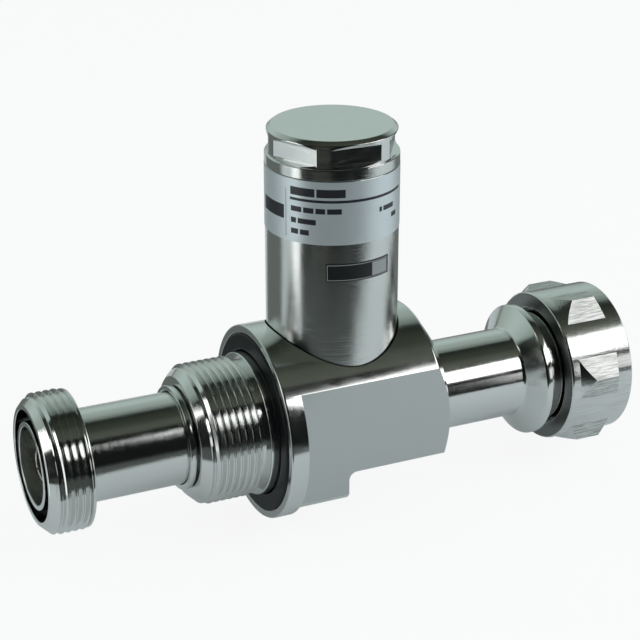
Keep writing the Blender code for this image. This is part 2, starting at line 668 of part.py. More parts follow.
def stub_tube():
    outline = [
        (TUBE_FOOT, STUB_BORE_DIA / 2),
        (TUBE_FOOT, STUB_DIA / 2),
        (STUB_TOP, STUB_DIA / 2),
        (STUB_TOP, STUB_HEAD_BORE_DIA / 2),
        (SHORT_SEAT, STUB_HEAD_BORE_DIA / 2),
        (SHORT_SEAT, STUB_BORE_DIA / 2),
    ]
    return finish(turned("stub_tube", outline, FINE_STEPS, PARTS, STUB_AXIS), NICKEL_SATIN)


def stub_conductor():
    foot = HUB_FLAT_HEIGHT + GAP
    stud = STUD_DIA / 2
    hole = SCREW_DIA / 2 + FIT
    top = SHORT_BOTTOM - GAP
    depth = SCREW_REACH + GAP
    outline = [
        (foot - GAP - STUB_STUD_LENGTH, 0), (foot - GAP - STUB_STUD_LENGTH, stud), (foot, stud),
        (foot, STUB_ROD_DIA / 2), (top, STUB_ROD_DIA / 2), (top, hole), (top - depth, hole),
        (top - depth, 0),
    ]
    return finish(turned("stub_conductor", outline, SMALL_STEPS, PARTS, STUB_AXIS), SILVER)


def stub_short():
    """The disc that shorts the stub's rod to its tube, and the screw that holds the rod to it."""
    disc = tube("stub_short", STUB_HEAD_BORE_DIA - 2 * FIT, SCREW_DIA + 2 * FIT, SHORT_BOTTOM,
                SHORT_TOP, LINE_STEPS, PARTS, STUB_AXIS)
    finish(disc, SILVER)

    head_low = SHORT_TOP + GAP
    head_high = head_low + SCREW_HEAD_HEIGHT
    outline = [
        (SHORT_BOTTOM - GAP - SCREW_REACH, 0), (SHORT_BOTTOM - GAP - SCREW_REACH, SCREW_DIA / 2),
        (head_low, SCREW_DIA / 2), (head_low, SCREW_HEAD_DIA / 2),
        (head_high - EDGE_BREAK, SCREW_HEAD_DIA / 2), (head_high, SCREW_HEAD_DIA / 2 - EDGE_BREAK),
        (head_high, 0),
    ]
    screw = turned("stub_screw", outline, SMALL_STEPS, PARTS, STUB_AXIS)
    cut(screw, prism("screw_key_cutter", 6, SCREW_KEY_WIDTH, head_low + SCREW_HEAD_HEIGHT / 3,
                     head_high + SCREW_HEAD_HEIGHT, STUB_AXIS))
    finish(screw, SPRING_STEEL)


def stub_cap():
    """The screwed cap, with six spanner flats milled between its ring and its rim."""
    spigot = STUB_HEAD_BORE_DIA / 2 - FIT
    groove = spigot - CAP_GROOVE_DEPTH
    groove_top = CAP_BASE - GAP
    roof = CAP_TOP - CAP_ROOF
    outline = [
        (roof, 0),
        (roof, CAP_HOLLOW_DIA / 2),
        (CAP_FOOT, CAP_HOLLOW_DIA / 2),
        (CAP_FOOT, spigot),
        (groove_top - CAP_GROOVE_WIDTH, spigot),
        (groove_top - CAP_GROOVE_WIDTH, groove),
        (groove_top, groove),
        (groove_top, spigot),
        (CAP_BASE, spigot),
        (CAP_BASE, CAP_DIA / 2),
        (CAP_LEDGE - EDGE_BREAK, CAP_DIA / 2),
        (CAP_LEDGE, CAP_RIM_DIA / 2),
        (CAP_TOP - CAP_TOP_BREAK, CAP_RIM_DIA / 2),
        (CAP_TOP, CAP_RIM_DIA / 2 - CAP_TOP_BREAK),
        (CAP_TOP, 0),
    ]
    cap = turned("stub_cap", outline, FINE_STEPS, PARTS, STUB_AXIS, CAP_TURN)
    reach = CAP_DIA
    for i in range(6):
        low = (CAP_ACROSS_FLATS / 2, -reach / 2, CAP_LEDGE)
        high = (reach, reach / 2, CAP_LEDGE + CAP_FLATS_HEIGHT)
        turn = CAP_TURN + math.radians(30 + 60 * i)
        cut(cap, block("cap_flat_cutter_%d" % (i + 1), low, high, STUB_AXIS, turn))
    return finish(cap, NICKEL_SATIN)


def labels():
    """Thin films that lie on the tower's facets, a little off its surface."""
    facet = 360 / FINE_STEPS
    radius = STUB_DIA / 2 + STICK
    sizes = (("rating_label", LABEL_BOTTOM, LABEL_HEIGHT, LABEL_ANGLES, LABEL_FILM),
             ("type_plate", PLATE_BOTTOM, PLATE_HEIGHT, PLATE_ANGLES, PLATE_FILM))
    for name, bottom, height, angles, recipe in sizes:
        steps = round((angles[1] - angles[0]) / facet)
        line = [(bottom, radius), (bottom + height, radius)]
        film = turned(name, line, steps, PARTS, STUB_AXIS, angles=angles)
        solid = film.modifiers.new("Thickness", "SOLIDIFY")
        solid.thickness = LABEL_THICKNESS
        solid.offset = 1
        finish(film, recipe)


def settle():
    """Turn every piece's modifiers into its mesh, so that its edges are shaded by their angle."""
    graph = bpy.context.evaluated_depsgraph_get()
    made = {}
    for obj in PARTS.objects:
        if obj.type == "MESH":
            made[obj] = bpy.data.meshes.new_from_object(obj.evaluated_get(graph))
    for obj, mesh in made.items():
        obj.modifiers.clear()
        obj.data = mesh
        mesh.shade_smooth()
        mesh.set_sharp_from_angle(angle=math.radians(30))


def build():
    main_body()
    socket_shell()
    socket_contact()
    line_conductor()
    plug_pin()
    insulators()
    plug_shell()
    coupling_nut()
    nut_retaining_ring()
    lock_rings()
    seals()
    stub_tube()
    stub_conductor()
    stub_short()
    stub_cap()
    labels()
    settle()


build()
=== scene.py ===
"""Looks for a coaxial lightning arrestor: its turned, threaded and milled surfaces, over the CAD frame.

The line runs along X, from the socket (-X) to the coupling nut (+X), and the stub tower stands
along +Z. Shapes are worked out in millimetres and their meshes are kept in metres.
"""

import math
from collections import namedtuple

import bmesh
import bpy
from mathutils import Matrix, Vector


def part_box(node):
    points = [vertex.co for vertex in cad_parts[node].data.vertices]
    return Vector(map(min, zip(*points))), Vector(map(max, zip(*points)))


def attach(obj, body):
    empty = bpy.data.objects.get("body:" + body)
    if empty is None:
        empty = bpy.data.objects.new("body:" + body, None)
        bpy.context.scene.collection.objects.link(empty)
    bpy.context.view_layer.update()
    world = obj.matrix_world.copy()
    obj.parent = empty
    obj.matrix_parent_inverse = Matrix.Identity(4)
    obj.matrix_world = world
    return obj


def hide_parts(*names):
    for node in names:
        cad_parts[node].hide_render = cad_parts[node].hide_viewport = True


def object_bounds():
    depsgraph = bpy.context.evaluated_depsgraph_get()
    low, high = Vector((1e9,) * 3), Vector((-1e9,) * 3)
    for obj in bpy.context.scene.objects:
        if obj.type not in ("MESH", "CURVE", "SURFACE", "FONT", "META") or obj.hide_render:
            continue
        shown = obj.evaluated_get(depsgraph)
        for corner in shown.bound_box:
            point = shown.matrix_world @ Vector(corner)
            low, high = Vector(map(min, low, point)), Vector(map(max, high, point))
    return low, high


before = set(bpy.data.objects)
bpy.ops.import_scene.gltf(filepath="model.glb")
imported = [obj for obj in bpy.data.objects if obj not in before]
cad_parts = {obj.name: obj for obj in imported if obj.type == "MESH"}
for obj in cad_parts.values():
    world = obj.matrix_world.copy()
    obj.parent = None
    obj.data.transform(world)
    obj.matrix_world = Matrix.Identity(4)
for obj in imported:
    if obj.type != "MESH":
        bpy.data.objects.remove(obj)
CAD_LOW, CAD_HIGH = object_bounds()

MM = 0.001


def span(node):
    """A CAD node's lowest and highest corner, in millimetres."""
    low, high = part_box(node)
    return low / MM, high / MM


BODY = span("main_body")
SOCKET = span("socket_shell")
CONTACT = span("socket_centre_contact")
PLUG = span("plug_shell")
PIN = span("plug_centre_pin")
NUT = span("coupling_nut")
TOWER = span("stub_tube")
CAP = span("stub_cap")
LABEL = span("rating_label")
PLATE = span("type_plate")

# Round pieces are spun in this many steps
ROUND = 192
SMALL_ROUND = 64
ARC_STEPS = 4

# The line's bores and rods, the same all along it
LINE_BORE = 8.0
LINE_ROD = 3.5
CORE_BORE = 5.0
PIN_RADIUS = 2.5
STUD_HOLE = 1.35
STUD_DEPTH = 4.5

# Clearances: round a piece in its bore, and between faces that seat on each other
FIT = 0.15
SEAT_GAP = 0.3

# Tolerances: for merging points, for places, for the slope of a flat face and for its least area
MERGE = 0.0005
TOUCH = 0.01
LEVEL = 0.01
LEAST_FLAT = 4

Axis = namedtuple("Axis", "centre along out")
TOWER_X = (TOWER[0].x + TOWER[1].x) / 2
LINE = Axis(Vector((0, 0, 0)), Vector((1, 0, 0)), Vector((0, 0, 1)))
STUB = Axis(Vector((TOWER_X, 0, 0)), Vector((0, 0, 1)), Vector((1, 0, 0)))


# Turned shapes

def softened(outline):
    """The outline's points. A third value rounds that corner, by the length cut off each side."""
    points = []
    count = len(outline)
    for i, (along, radius, *soft) in enumerate(outline):
        corner = Vector((along, radius))
        if not soft:
            points.append(corner)
            continue
        before = Vector(outline[i - 1][:2]) - corner
        after = Vector(outline[(i + 1) % count][:2]) - corner
        start = corner + before.normalized() * soft[0]
        end = corner + after.normalized() * soft[0]
        for k in range(ARC_STEPS + 1):
            t = k / ARC_STEPS
            points.append((1 - t) ** 2 * start + 2 * t * (1 - t) * corner + t * t * end)
    return points


def turned(outline, axis=LINE, steps=ROUND, angles=None):
    """A turned form. Its outline is closed, or open where both of its ends lie on the axis."""
    form = bmesh.new()
    points = softened(outline)
    open_ended = outline[0][1] == 0 and outline[-1][1] == 0
    verts = [form.verts.new(axis.centre + axis.along * p.x + axis.out * p.y) for p in points]
    edges = [form.edges.new(pair) for pair in zip(verts, verts[1:])]
    if not open_ended:
        edges.append(form.edges.new((verts[-1], verts[0])))
    low, high = angles or (0, 360)
    if low:
        start = Matrix.Rotation(math.radians(low), 3, axis.along)
        bmesh.ops.rotate(form, cent=axis.centre, matrix=start, verts=form.verts)
    bmesh.ops.spin(form, geom=verts + edges, cent=axis.centre, axis=axis.along,
                   angle=math.radians(high - low), steps=steps, use_merge=angles is None)
    if angles:
        bmesh.ops.holes_fill(form, edges=form.edges, sides=0)
    return closed(form)


def closed(form):
    bmesh.ops.remove_doubles(form, verts=form.verts, dist=MERGE)
    bmesh.ops.recalc_face_normals(form, faces=form.faces)
    return form


def ring(low, high, inner, outer, edge, axis=LINE, steps=ROUND):
    outline = [(low, inner, edge), (low, outer, edge), (high, outer, edge), (high, inner, edge)]
    return turned(outline, axis, steps)


def radius_at(axis, point):
    return (point - axis.centre).cross(axis.along).length


def threaded(axis, low, high, root, crest, pitch, limit, phase=0.0, inside=False):
    """One helical tooth, wound from low to high. limit(along) is the furthest that it may reach
    from the axis (or the least, for an inside thread), which fades its ends into the metal."""
    sink = -THREAD_SINK if not inside else THREAD_SINK
    height = crest - root
    tooth = [(0, root + sink), (0, root)]
    for share, rise in THREAD_FORM:
        tooth.append((share * pitch, root + rise * height))
    tooth += [(pitch, root), (pitch, root + sink)]
    turns = math.ceil((high - low) / pitch) + 1
    form = bmesh.new()
    first = low - pitch + phase * pitch
    verts = [form.verts.new(axis.centre + axis.along * (first + along) + axis.out * radius)
             for along, radius in tooth]
    edges = [form.edges.new(pair) for pair in zip(verts, verts[1:] + verts[:1])]
    bmesh.ops.spin(form, geom=verts + edges, cent=axis.centre, axis=axis.along,
                   angle=2 * math.pi * turns, steps=THREAD_STEPS * turns,
                   dvec=axis.along * pitch / THREAD_STEPS)
    bmesh.ops.holes_fill(form, edges=form.edges, sides=0)
    for vert in form.verts:
        place = vert.co - axis.centre
        along = min(max(place.dot(axis.along), low), high)
        outward = place - axis.along * place.dot(axis.along)
        reach = outward.length
        kept = max(reach, limit(along)) if inside else min(reach, limit(along))
        vert.co = axis.centre + axis.along * along + outward * (kept / reach)
    bmesh.ops.recalc_face_normals(form, faces=form.faces)
    return form


THREAD_SINK = 0.25
THREAD_STEPS = 120
THREAD_FORM = ((0.05, 0.02), (0.11, 0.12), (0.45, 0.96), (0.48, 1.0), (0.52, 1.0), (0.55, 0.96),
               (0.89, 0.12), (0.95, 0.02))
PITCH = 1.5
TOOTH_DEPTH = 0.92


# Milled shapes

def box_form(low, high):
    form = bmesh.new()
    bmesh.ops.create_cube(form, size=1.0)
    size = [top - bottom for bottom, top in zip(low, high)]
    middle = [(top + bottom) / 2 for bottom, top in zip(low, high)]
    bmesh.ops.scale(form, vec=size, verts=form.verts)
    bmesh.ops.translate(form, vec=middle, verts=form.verts)
    return form


def hexagon(axis, across_flats, low, high, turn):
    """A hexagonal bar along the axis. turn is the angle of its first corner from the axis's out."""
    form = bmesh.new()
    corner = across_flats / 2 / math.cos(math.pi / 6)
    verts = []
    for i in range(6):
        spoke = Matrix.Rotation(turn + math.pi / 3 * i, 3, axis.along) @ axis.out
        verts.append(form.verts.new(axis.centre + axis.along * low + spoke * corner))
    base = form.faces.new(verts)
    grown = bmesh.ops.extrude_face_region(form, geom=[base], use_keep_orig=True)
    top = [g for g in grown["geom"] if isinstance(g, bmesh.types.BMVert)]
    bmesh.ops.translate(form, vec=axis.along * (high - low), verts=top)
    bmesh.ops.recalc_face_normals(form, faces=form.faces)
    return form


def carved(form, *steps):
    """The form after each (operation, other form) in turn, by exact booleans."""
    work = loose_object("work", form)
    others = []
    for operation, other in steps:
        tool = loose_object("tool", other)
        others.append(tool)
        step = work.modifiers.new("Carve", "BOOLEAN")
        step.operation = operation
        step.object = tool
        step.solver = "EXACT"
    graph = bpy.context.evaluated_depsgraph_get()
    made = bmesh.new()
    mesh = bpy.data.meshes.new_from_object(work.evaluated_get(graph))
    made.from_mesh(mesh)
    bpy.data.meshes.remove(mesh)
    for obj in [work, *others]:
        bpy.data.objects.remove(obj)
    bmesh.ops.remove_doubles(made, verts=made.verts, dist=MERGE)
    bmesh.ops.dissolve_limit(made, angle_limit=math.radians(IN_PLANE), verts=made.verts,
                             edges=made.edges, use_dissolve_boundaries=False)
    bmesh.ops.recalc_face_normals(made, faces=made.faces)
    return made


# Faces that meet at less than this many degrees become one
IN_PLANE = 0.05


def loose_object(name, form):
    mesh = bpy.data.meshes.new(name)
    form.to_mesh(mesh)
    form.free()
    obj = bpy.data.objects.new(name, mesh)
    bpy.context.scene.collection.objects.link(obj)
    return obj


def soften_edges(form, width, pick, least=25, segments=2):
    """Rounds the edges sharper than least degrees whose middle pick() takes."""
    chosen = []
    for edge in form.edges:
        if len(edge.link_faces) != 2 or edge.calc_face_angle(0) < math.radians(least):
            continue
        if pick((edge.verts[0].co + edge.verts[1].co) / 2):
            chosen.append(edge)
    bmesh.ops.bevel(form, geom=chosen, offset=width, offset_type="OFFSET", segments=segments,
                    profile=0.5, affect="EDGES", clamp_overlap=True, material=-1)
    return form


# Finished pieces

def joined(*forms):
    """Several closed forms as one."""
    whole = bmesh.new()
    for form in forms:
        mesh = bpy.data.meshes.new("part")
        form.to_mesh(mesh)
        form.free()
        whole.from_mesh(mesh)
        bpy.data.meshes.remove(mesh)
    return whole


def piece(name, form, body, slot, finish, *nodes):
    """A finished piece: in metres, its flat faces shaded flat and its round ones smooth."""
    bmesh.ops.scale(form, vec=(MM, MM, MM), verts=form.verts)
    obj = loose_object(name, form)
    mesh = obj.data
    for material in finish if isinstance(finish, (list, tuple)) else [finish]:
        mesh.materials.append(material)
    mesh.shade_smooth()
    mesh.set_sharp_from_angle(angle=math.radians(SHARP_ANGLE))
    even = obj.modifiers.new("Even shading", "WEIGHTED_NORMAL")
    even.keep_sharp = True
    graph = bpy.context.evaluated_depsgraph_get()
    obj.data = bpy.data.meshes.new_from_object(obj.evaluated_get(graph))
    obj.modifiers.clear()
    bpy.data.meshes.remove(mesh)
    obj.data.name = name
    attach(obj, body)
    if nodes:
        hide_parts(*nodes)
    return obj


SHARP_ANGLE = 32


# Materials

def shader_of(name, colour, roughness, metallic):
    made = bpy.data.materials.new(name)
    made.use_nodes = True
    made.diffuse_color = (*colour, 1)
    shader = made.node_tree.nodes["Principled BSDF"]
    shader.inputs["Base Color"].default_value = (*colour, 1)
    shader.inputs["Roughness"].default_value = roughness
    shader.inputs["Metallic"].default_value = metallic
    return made, made.node_tree, shader


def node(tree, kind, settings=(), **inputs):
    """A shader node. Inputs are numbers, colours or other nodes' sockets, by name or in order."""
    made = tree.nodes.new(kind)
    for key, value in dict(settings).items():
        setattr(made, key, value)
    for key, value in inputs.items():
        socket = made.inputs[int(key[1:])] if key[0] == "i" and key[1:].isdigit() else None
        socket = socket or made.inputs[key.replace("_", " ")]
        if isinstance(value, bpy.types.NodeSocket):
            tree.links.new(value, socket)
        else:
            socket.default_value = value
    return made


def maths(tree, operation, first, second=0.0):
    return node(tree, "ShaderNodeMath", {"operation": operation}, i0=first, i1=second).outputs[0]


def object_point(tree, centre=(0, 0, 0)):
    """The piece's own point, measured from centre."""
    where = node(tree, "ShaderNodeTexCoord").outputs["Object"]
    return node(tree, "ShaderNodeVectorMath", {"operation": "SUBTRACT"}, i0=where,
                i1=centre).outputs[0]


def round_the_axis(tree, axis):
    """(distance along, distance from) the axis, as sockets in metres."""
    point = object_point(tree, axis.centre * MM)
    along = node(tree, "ShaderNodeVectorMath", {"operation": "DOT_PRODUCT"}, i0=point,
                 i1=axis.along).outputs["Value"]
    across = node(tree, "ShaderNodeVectorMath", {"operation": "CROSS_PRODUCT"}, i0=point,
                  i1=axis.along).outputs[0]
    away = node(tree, "ShaderNodeVectorMath", {"operation": "LENGTH"}, i0=across).outputs["Value"]
    return along, away


def noise(tree, scale, detail=2.0, roughness=0.5, **inputs):
    settings = {"noise_dimensions": "1D" if "W" in inputs else "3D"}
    made = node(tree, "ShaderNodeTexNoise", settings, Scale=scale, Detail=detail,
                Roughness=roughness, **inputs)
    return made.outputs["Fac"]


def ranged(tree, value, from_low, from_high, to_low, to_high):
    made = node(tree, "ShaderNodeMapRange", (), Value=value, From_Min=from_low, From_Max=from_high,
                To_Min=to_low, To_Max=to_high)
    return made.outputs["Result"]


def bumped(tree, height, distance, strength=1.0, under=None):
    inputs = {"Height": height, "Distance": distance, "Strength": strength}
    if under is not None:
        inputs["Normal"] = under
    return node(tree, "ShaderNodeBump", (), **inputs).outputs["Normal"]


def turned_metal(name, colour, roughness, axis, groove, depth, uneven, grit=0.004):
    """Plated metal off a lathe: rings about the axis, a fine grit and an uneven polish."""
    made, tree, shader = shader_of(name, colour, roughness, 1.0)
    along, away = round_the_axis(tree, axis)
    run = maths(tree, "ADD", along, away)
    rings = noise(tree, 1 / (groove * MM), 3.0, 0.6, W=run)
    patches = noise(tree, 1 / (PATCH * MM), 2.0, 0.5, Vector=object_point(tree))
    tree.links.new(ranged(tree, patches, 0.3, 0.7, roughness - uneven, roughness + uneven),
                   shader.inputs["Roughness"])
    grains = noise(tree, 1 / (GRAIN * MM), 2.0, 0.6, Vector=object_point(tree))
    grained = bumped(tree, grains, grit * MM)
    tree.links.new(bumped(tree, rings, depth * MM, under=grained), shader.inputs["Normal"])
    return made


PATCH = 4.0
GRAIN = 0.28


def milled_metal(name, colour, roughness, direction, groove, depth, streak=0.0):
    """Milled metal: fine strokes along one direction, with a little mottling in the plating. The
    strokes darken the metal by up to the share streak."""
    made, tree, shader = shader_of(name, colour, roughness, 1.0)
    point = object_point(tree)
    squeeze = [1 / (groove * MM)] * 3
    squeeze[direction] /= STROKE_LENGTH
    stretched = node(tree, "ShaderNodeVectorMath", {"operation": "MULTIPLY"}, i0=point,
                     i1=squeeze).outputs[0]
    strokes = noise(tree, 1.0, 3.0, 0.6, Vector=stretched)
    mottle = noise(tree, 1 / (MOTTLE * MM), 3.0, 0.55, Vector=point)
    both = maths(tree, "ADD", strokes, mottle)
    tree.links.new(bumped(tree, both, depth * MM), shader.inputs["Normal"])
    if streak:
        dark = [channel * (1 - streak) for channel in colour]
        share = ranged(tree, strokes, 0.35, 0.60, 0.0, 1.0)
        tone = node(tree, "ShaderNodeMix", {"data_type": "RGBA"}, i0=share, i6=(*dark, 1),
                    i7=(*colour, 1)).outputs[2]
        tree.links.new(tone, shader.inputs["Base Color"])
    return made


STROKE_LENGTH = 12.0
MOTTLE = 0.7


def plain_surface(name, colour, roughness, grain, depth, metallic=0.0, sheen=0.5):
    """A moulded or printed surface with a fine grain."""
    made, tree, shader = shader_of(name, colour, roughness, metallic)
    shader.inputs["Specular IOR Level"].default_value = sheen
    cloud = noise(tree, 1 / (grain * MM), 3.0, 0.55, Vector=object_point(tree))
    tree.links.new(bumped(tree, cloud, depth * MM), shader.inputs["Normal"])
    tree.links.new(ranged(tree, cloud, 0.3, 0.7, roughness * 0.9, roughness * 1.1),
                   shader.inputs["Roughness"])
    return made


NICKEL = (0.72, 0.735, 0.72)
NICKEL_LINE = turned_metal("bright_nickel_line", NICKEL, 0.12, LINE, 0.30, 0.0030, 0.03)
NICKEL_THREAD = turned_metal("bright_nickel_thread", NICKEL, 0.10, LINE, 0.30, 0.0015, 0.02)
NICKEL_BODY = turned_metal("satin_nickel_body", NICKEL, 0.12, LINE, 0.22, 0.0040, 0.03)
NICKEL_TOWER = turned_metal("satin_nickel_tower", NICKEL, 0.15, STUB, 0.06, 0.0090, 0.03, 0.006)
NICKEL_MILLED = milled_metal("milled_nickel", (0.54, 0.56, 0.555), 0.16, 0, 0.25, 0.0015)
NICKEL_TUBE = turned_metal("bright_nickel_tube", NICKEL, 0.10, LINE, 0.10, 0.0060, 0.03, 0.018)
NICKEL_NUT = milled_metal("brushed_nickel_nut", NICKEL, 0.15, 0, 0.40, 0.0120, 0.12)
# The nut's rear face: nickel darkened as painted shade, for the face turned back toward the body
NICKEL_REAR_SHADE = turned_metal("nut_rear_painted_shade", (0.20, 0.205, 0.20), 0.30, LINE, 0.25, 0.0100, 0.04)
NICKEL_BORE = turned_metal("bored_nickel", (0.52, 0.53, 0.50), 0.30, LINE, 0.30, 0.0200, 0.05)
SILVER = turned_metal("silver_plate", (0.80, 0.78, 0.72), 0.16, LINE, 0.20, 0.0015, 0.03)
STEEL = turned_metal("spring_steel", (0.36, 0.36, 0.36), 0.25, LINE, 0.20, 0.0020, 0.04)
INSULATOR = plain_surface("white_insulator", (0.86, 0.86, 0.83), 0.42, 0.6, 0.004)
RUBBER = plain_surface("black_rubber", (0.008, 0.009, 0.011), 0.34, 0.5, 0.004, 0.0, 0.22)
LABEL_FILM = plain_surface("label_film", (0.70, 0.78, 0.81), 0.38, 1.5, 0.002, 0.6)
PRINT = plain_surface("black_print", (0.02, 0.022, 0.028), 0.35, 1.0, 0.002)
PLATE_FILM = plain_surface("plate_film", (0.008, 0.010, 0.013), 0.45, 1.0, 0.002)
CLEAR_EDGE = plain_surface("plate_border", (0.35, 0.36, 0.37), 0.25, 1.0, 0.002)


# The body

EDGE = 0.15
SPIGOT_CREST = 14.8
SPIGOT_LEAD_FOOT = 12.5
RELIEF_RADIUS = 13.6
LOCATING_RADIUS = 15.1
LOCATING_START = -2.1
RECESS_FLOOR = 2.0
RECESS_RADIUS = 19.0
THREAD_END = -3.4
CONE_START = BODY[1].x - 2.9
CONE_END_RADIUS = 16.3
FLAT_START = 3.8
FLAT_HALF = 16.45
LUG_END = 14.7
LUG_FOOT = -13.5
NOTCH_ROOF = -7.5
NOTCH_ROUND = 1.75
POCKET_FLOOR = 8.5
POCKET_GAP = 0.3
POCKET_MARGIN = 0.5
SOCKET_SEAT = -4.2
PLUG_SEAT = BODY[1].x - 4.2


def cone_limit(face, foot, crest, sink=0.03):
    """A lead's cone, opening at 45 degrees from its foot at the face up to the crest."""
    def limit(along):
        return min(foot + abs(along - face), crest) - sink
    return limit


def make_body():
    face = BODY[0].x
    end = BODY[1].x
    radius = BODY[1].y
    root = SPIGOT_CREST - TOOTH_DEPTH
    socket_hole = SOCKET_TUBE + FIT
    plug_hole = PLUG_SPIGOT + FIT
    outline = [
        (face, SPIGOT_LEAD_FOOT, EDGE),
        (face + root - SPIGOT_LEAD_FOOT, root),
        (THREAD_END - 0.2, root), (THREAD_END, RELIEF_RADIUS),
        (LOCATING_START, RELIEF_RADIUS), (LOCATING_START, LOCATING_RADIUS, 0.3),
        (RECESS_FLOOR, LOCATING_RADIUS), (RECESS_FLOOR, RECESS_RADIUS),
        (0, RECESS_RADIUS, EDGE), (0, radius, 0.45),
        (CONE_START, radius, 0.4), (end, CONE_END_RADIUS, EDGE),
        (end, plug_hole, EDGE), (PLUG_SEAT, plug_hole), (PLUG_SEAT, CORE_BORE),
        (SOCKET_SEAT, CORE_BORE), (SOCKET_SEAT, socket_hole), (face, socket_hole, EDGE),
    ]
    bar = turned(outline)
    far = 2 * radius
    past = end + far
    notch = box_form((LUG_END, -far, -far), (past, far, NOTCH_ROOF))
    soften_edges(notch, NOTCH_ROUND, at_notch_corner, segments=8)
    pocket = turned([(POCKET_FLOOR, 0), (POCKET_FLOOR, TOWER_RADIUS + POCKET_GAP),
                     (far, TOWER_RADIUS + POCKET_GAP), (far, 0)], STUB)
    milled = carved(
        bar,
        ("DIFFERENCE", box_form((FLAT_START, -far, -far), (past, -FLAT_HALF, far))),
        ("DIFFERENCE", box_form((FLAT_START, FLAT_HALF, -far), (past, far, far))),
        ("DIFFERENCE", box_form((FLAT_START, -far, -far), (past, far, LUG_FOOT))),
        ("DIFFERENCE", notch),
        ("DIFFERENCE", pocket),
    )
    soften_edges(milled, EDGE, on_milled_edge)
    mark_milled_faces(milled)
    lead = cone_limit(face, SPIGOT_LEAD_FOOT, SPIGOT_CREST)

    def limit(along):
        return min(lead(along), SPIGOT_CREST - max(0, along - THREAD_END + PITCH / 2) * 2)

    ridge = threaded(LINE, face + 0.5, THREAD_END + 0.1, root, SPIGOT_CREST, PITCH, limit,
                     SPIGOT_PHASE)
    piece("body_milled", joined(milled, ridge), "arrestor", "nickel_satin",
          [NICKEL_BODY, NICKEL_MILLED], "main_body")


SPIGOT_PHASE = 0.0
TOWER_RADIUS = TOWER[1].y
SOCKET_TUBE = 9.65
PLUG_SPIGOT = 6.3


def at_notch_corner(point):
    return abs(point.x - LUG_END) < TOUCH and abs(point.z - NOTCH_ROOF) < TOUCH


def on_milled_edge(point):
    """Edges of the flats, the lug and the notch, away from the tower's pocket and the bores."""
    at_pocket = radius_at(STUB, point) < TOWER_RADIUS + POCKET_MARGIN and point.z > 0
    if point.x < FLAT_START - TOUCH or at_pocket:
        return False
    on_flat = abs(abs(point.y) - FLAT_HALF) < TOUCH
    on_foot = abs(point.z - LUG_FOOT) < TOUCH or abs(point.z - NOTCH_ROOF) < TOUCH
    on_wall = abs(point.x - LUG_END) < TOUCH and point.z < NOTCH_ROOF
    on_shoulder = abs(point.x - FLAT_START) < TOUCH
    return on_flat or on_foot or on_wall or on_shoulder


def mark_milled_faces(form):
    """The flat faces that the milling cutter left take the second material."""
    for face in form.faces:
        normal = face.normal
        square = max(abs(normal.x), abs(normal.y), abs(normal.z)) > 0.9999
        large = face.calc_center_median().x > FLAT_START and face.calc_area() > LEAST_FLAT
        if square and large and abs(normal.x) < 0.5:
            face.material_index = 1


# The socket end

SOCKET_FACE = SOCKET[0].x
SOCKET_CREST = SOCKET[1].y
SOCKET_FOOT = 12.35
SOCKET_GROOVE = (9.07, 11.45)
SOCKET_GROOVE_FLOOR = SOCKET_FACE + 7.2
SOCKET_REAR = SOCKET_FACE + 9.1
SOCKET_THREAD_END = SOCKET_REAR - 0.9
SOCKET_PHASE = 0.0
TUBE_MARGIN = 0.1
BEAD_LENGTH = 4.0
SOCKET_BEAD = SOCKET_FACE + 9.2


def make_socket():
    root = SOCKET_CREST - TOOTH_DEPTH
    inner, outer = SOCKET_GROOVE
    end = SOCKET[1].x
    outline = [
        (SOCKET_FACE, SOCKET_FOOT, EDGE), (SOCKET_FACE + root - SOCKET_FOOT, root),
        (SOCKET_THREAD_END, root), (SOCKET_THREAD_END + 0.3, SOCKET_CREST - 0.25),
        (SOCKET_REAR, SOCKET_CREST - 0.25, 0.3), (SOCKET_REAR, SOCKET_TUBE, 0.25),
        (end, SOCKET_TUBE), (end, LINE_BORE),
        (SOCKET_FACE, LINE_BORE, 0.2), (SOCKET_FACE, inner, 0.2),
        (SOCKET_GROOVE_FLOOR, inner), (SOCKET_GROOVE_FLOOR, outer),
        (SOCKET_FACE, outer, 0.2),
    ]
    lead = cone_limit(SOCKET_FACE, SOCKET_FOOT, SOCKET_CREST)

    def limit(along):
        return min(lead(along), SOCKET_CREST - max(0, along - SOCKET_THREAD_END + 0.4) * 2)

    ridge = threaded(LINE, SOCKET_FACE + 0.5, SOCKET_THREAD_END + 0.2, root, SOCKET_CREST, PITCH,
                     limit, SOCKET_PHASE)
    form = turned(outline)
    for face in form.faces:
        centre = face.calc_center_median()
        if radius_at(LINE, centre) < LINE_BORE + 2 * TOUCH:
            face.material_index = 1
        elif centre.x > SOCKET_REAR and radius_at(LINE, centre) < SOCKET_TUBE + TUBE_MARGIN:
            face.material_index = 2
    piece("socket_turned", joined(form, ridge), "arrestor", "nickel_bright",
          [NICKEL_THREAD, NICKEL_BORE, NICKEL_TUBE], "socket_shell")

    bead = ring(SOCKET_BEAD, SOCKET_BEAD + BEAD_LENGTH, LINE_ROD + FIT, LINE_BORE - FIT, EDGE)
    piece("socket_bead", bead, "arrestor", "white_insulator", INSULATOR, "socket_insulator")
    make_contact()


CONTACT_BORE = 2.55
CONTACT_BORE_DEPTH = 7.5
CONTACT_SLOT = 0.5


